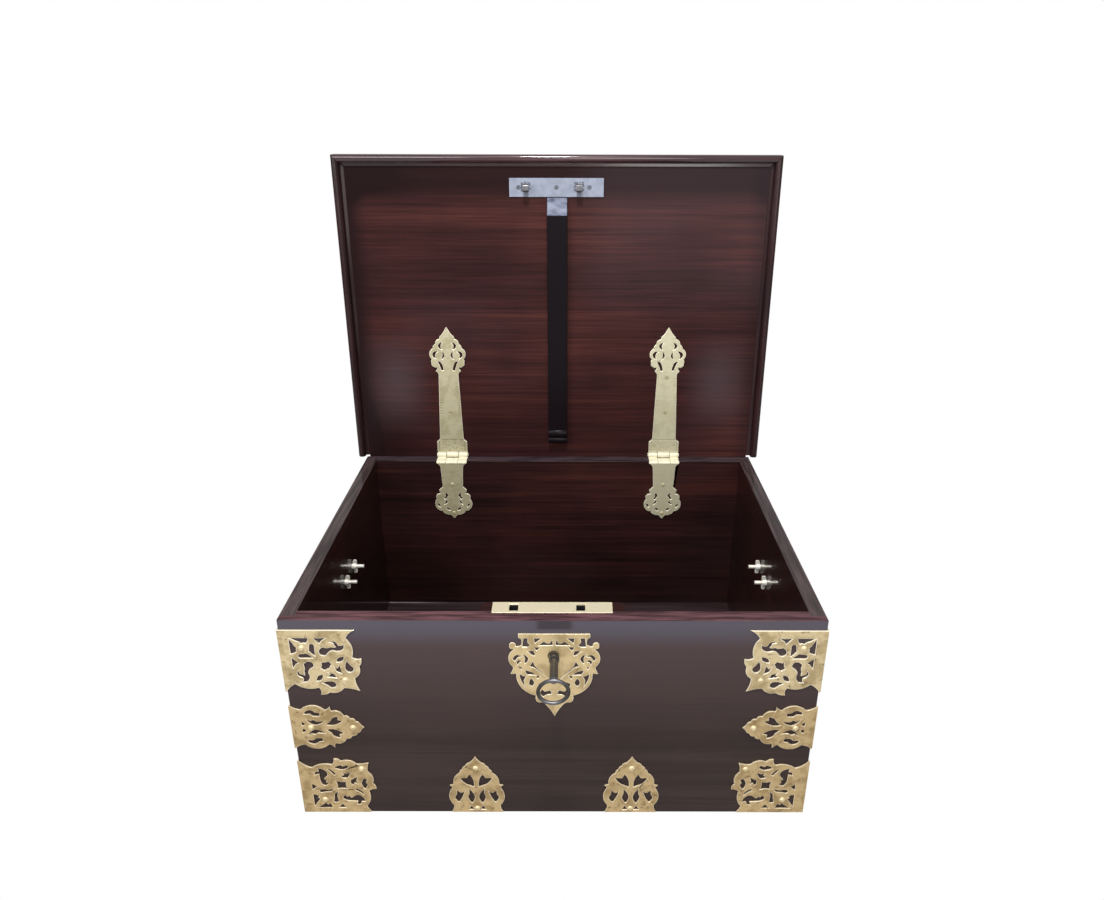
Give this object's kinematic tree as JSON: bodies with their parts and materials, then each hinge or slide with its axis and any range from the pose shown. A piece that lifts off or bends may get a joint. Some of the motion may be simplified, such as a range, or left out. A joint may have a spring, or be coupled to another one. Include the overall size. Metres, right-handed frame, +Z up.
{
  "type": "dowry chest",
  "caption": "Low rectangular hardwood dowry chest with a hinged moulded lid, pierced brass corner mounts, strap hinges, a lock with its key, and drop handles on the sides.",
  "frame": {"origin": "middle of the flat underside, on the surface that the chest stands on", "axes": "+X to the chest's right as seen from the front, +Y from the front to the back, +Z up; the front with the lock faces -Y"},
  "size_m": [0.702, 0.5979, 0.8151],
  "materials": {
    "rosewood": "polished",
    "black_wood": "polished",
    "aged_brass": "worn",
    "pale_brass": "satin",
    "white_metal": "satin",
    "dark_iron": "worn"
  },
  "bodies": {
    "chest": {"front_board": "rosewood", "back_board": "rosewood", "left_side_board": "rosewood", "right_side_board": "rosewood", "bottom_board": "rosewood", "lock_block": "rosewood", "upper_left_corner_mount": "aged_brass", "upper_right_corner_mount": "aged_brass", "lower_left_corner_mount": "aged_brass", "lower_right_corner_mount": "aged_brass", "left_edge_mount": "aged_brass", "right_edge_mount": "aged_brass", "left_foot_mount": "aged_brass", "right_foot_mount": "aged_brass", "escutcheon": "aged_brass", "mount_nails": "aged_brass", "selvedge_plate": "pale_brass", "lock_case": "dark_iron", "lock_pin": "dark_iron", "lock_spring": "dark_iron", "left_hinge_chest_leaf": "pale_brass", "right_hinge_chest_leaf": "pale_brass", "left_hinge_pin": "pale_brass", "right_hinge_pin": "pale_brass", "chest_hinge_screws": "pale_brass", "handle_studs": "pale_brass", "wing_nuts": "pale_brass", "left_handle_backplate": "pale_brass", "right_handle_backplate": "pale_brass"},
    "lid": {"lid_board": "rosewood", "lid_front_moulding": "rosewood", "lid_left_moulding": "rosewood", "lid_right_moulding": "rosewood", "lid_batten": "black_wood", "left_hinge_lid_leaf": "pale_brass", "right_hinge_lid_leaf": "pale_brass", "lid_hinge_screws": "pale_brass", "hasp_plate": "white_metal", "hasp_staples": "white_metal", "hasp_screws": "white_metal"},
    "lock_bolt": {"lock_bolt": "dark_iron"},
    "key": {"key": "dark_iron"},
    "left_handle": {"left_handle": "pale_brass"},
    "right_handle": {"right_handle": "pale_brass"}
  },
  "joints": [
    {"name": "lid_hinge", "type": "hinge", "parent": "chest", "child": "lid", "pos_m": [0, 0.2412, 0.313], "axis": [1, 0, 0], "range_deg": [0, 91.3]},
    {"name": "key_turn", "type": "hinge", "parent": "chest", "child": "key", "pos_m": [0.0017, -0.24, 0.258], "axis": [0, 1, 0], "range_deg": [0, 180]},
    {"name": "bolt_slide", "type": "slide", "parent": "chest", "child": "lock_bolt", "axis": [1, 0, 0], "range_m": [0, 0.012]},
    {"name": "left_handle_swing", "type": "hinge", "parent": "chest", "child": "left_handle", "pos_m": [-0.345, 0, 0.222], "axis": [0, 1, 0], "range_deg": [-5, 100]},
    {"name": "right_handle_swing", "type": "hinge", "parent": "chest", "child": "right_handle", "pos_m": [0.345, 0, 0.222], "axis": [0, -1, 0], "range_deg": [-5, 100]}
  ],
  "couplings": [
    {"joint": "bolt_slide", "follows": "key_turn", "m_per_rad": 0.003819}
  ]
}
